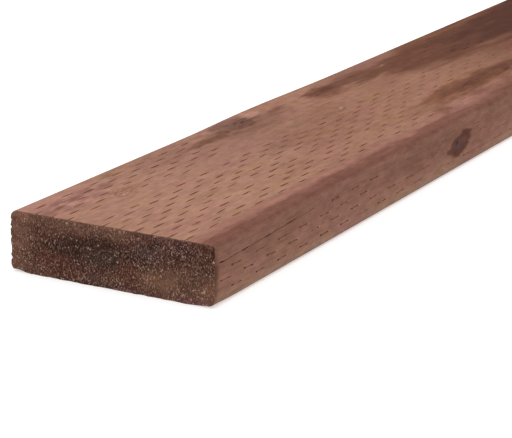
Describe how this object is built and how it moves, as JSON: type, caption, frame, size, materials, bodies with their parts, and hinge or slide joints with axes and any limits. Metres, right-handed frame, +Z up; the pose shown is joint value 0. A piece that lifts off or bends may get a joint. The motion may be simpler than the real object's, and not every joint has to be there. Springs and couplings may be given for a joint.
{
  "type": "pressure-treated pine board",
  "caption": "Brown-stained, incised pressure-treated softwood board with planed faces, eased long edges and square-sawn ends, for decks, frames and ground-contact work.",
  "frame": {"origin": "under the middle of the board, on the surface that its lower wide face lies on", "axes": "+X along the board's length, +Y across its width, +Z up through its thickness"},
  "size_m": [2.4384, 0.1396, 0.0381],
  "materials": {
    "treated_pine": "matte brown preservative stain"
  },
  "bodies": {
    "root": {"board": "treated_pine"}
  },
  "joints": []
}
